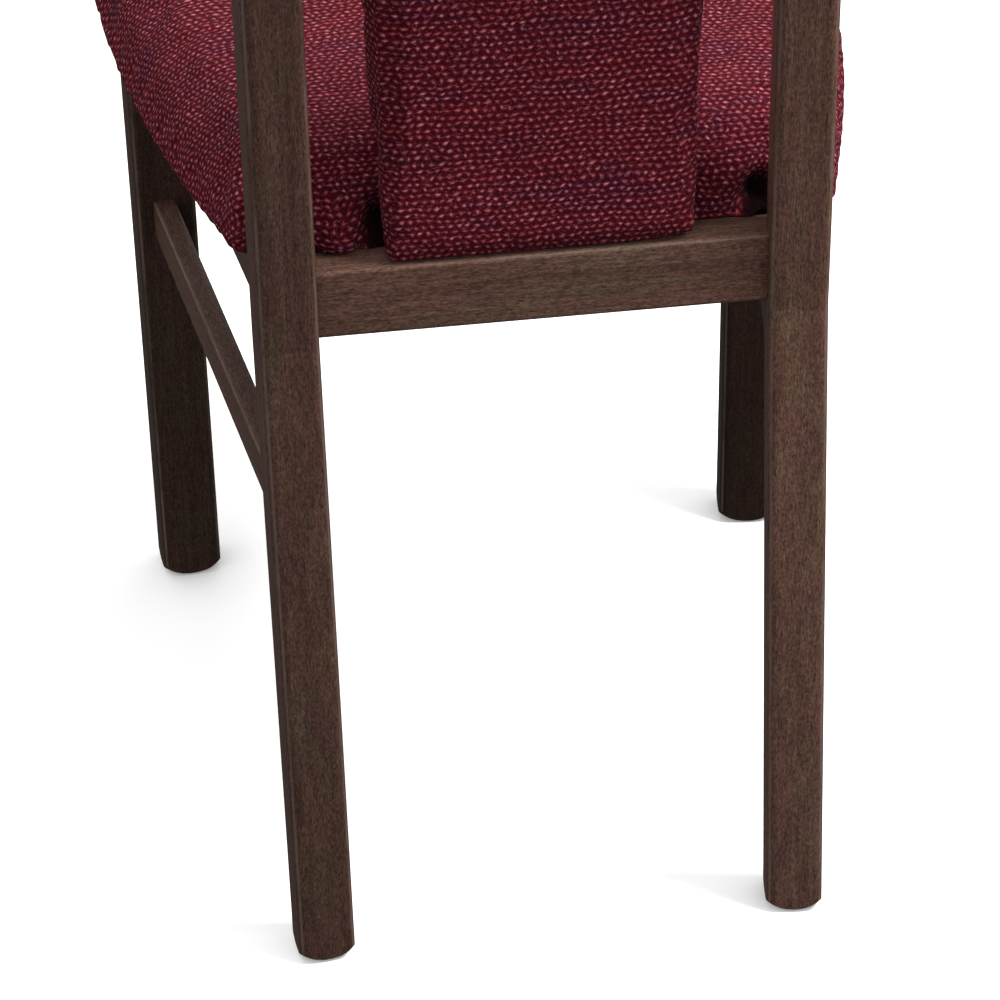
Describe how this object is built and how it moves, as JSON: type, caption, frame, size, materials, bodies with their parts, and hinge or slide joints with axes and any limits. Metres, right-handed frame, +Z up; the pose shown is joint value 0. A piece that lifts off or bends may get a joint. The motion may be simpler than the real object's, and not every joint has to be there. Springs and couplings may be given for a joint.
{
  "type": "upholstered hall chair",
  "caption": "Upright church or hall chair: dark stained timber frame, thick padded seat wider than the frame, and a narrow padded back panel between two rear posts.",
  "frame": {"origin": "on the floor, under the middle of the chair's outer box", "axes": "+Z up; the sitter faces -Y; +X is the sitter's left"},
  "size_m": [0.4426, 0.45, 0.8526],
  "materials": {
    "stained_wood": "dark walnut stain, satin lacquer",
    "plain_wood": "unfinished beech",
    "plywood": "unfinished birch plywood",
    "foam": "open cell upholstery foam",
    "red_fabric": "coarse slub weave",
    "dust_cloth": "thin black non-woven cloth",
    "steel": "zinc plated",
    "nylon": "moulded nylon"
  },
  "bodies": {
    "root": {"rear_post_left": "stained_wood", "rear_post_right": "stained_wood", "front_leg_left": "stained_wood", "front_leg_right": "stained_wood", "rear_seat_rail": "stained_wood", "front_seat_rail": "stained_wood", "side_rail_left": "stained_wood", "side_rail_right": "stained_wood", "stretcher_left": "stained_wood", "stretcher_right": "stained_wood", "crest_rail": "stained_wood", "corner_block_rear_left": "plain_wood", "corner_block_rear_right": "plain_wood", "corner_block_front_left": "plain_wood", "corner_block_front_right": "plain_wood", "rail_dowels": "plain_wood", "side_rail_dowels": "plain_wood", "stretcher_dowels": "plain_wood", "crest_dowels": "plain_wood", "back_dowels": "plain_wood", "corner_block_screws": "steel", "seat_screws": "steel", "seat_board": "plywood", "seat_foam": "foam", "seat_cover": "red_fabric", "seat_dust_cover": "dust_cloth", "back_board": "plywood", "back_foam": "foam", "back_rear_pad": "foam", "back_cover": "red_fabric", "glide_rear_left": "nylon", "glide_rear_right": "nylon", "glide_front_left": "nylon", "glide_front_right": "nylon", "glide_nails": "steel"}
  },
  "joints": []
}
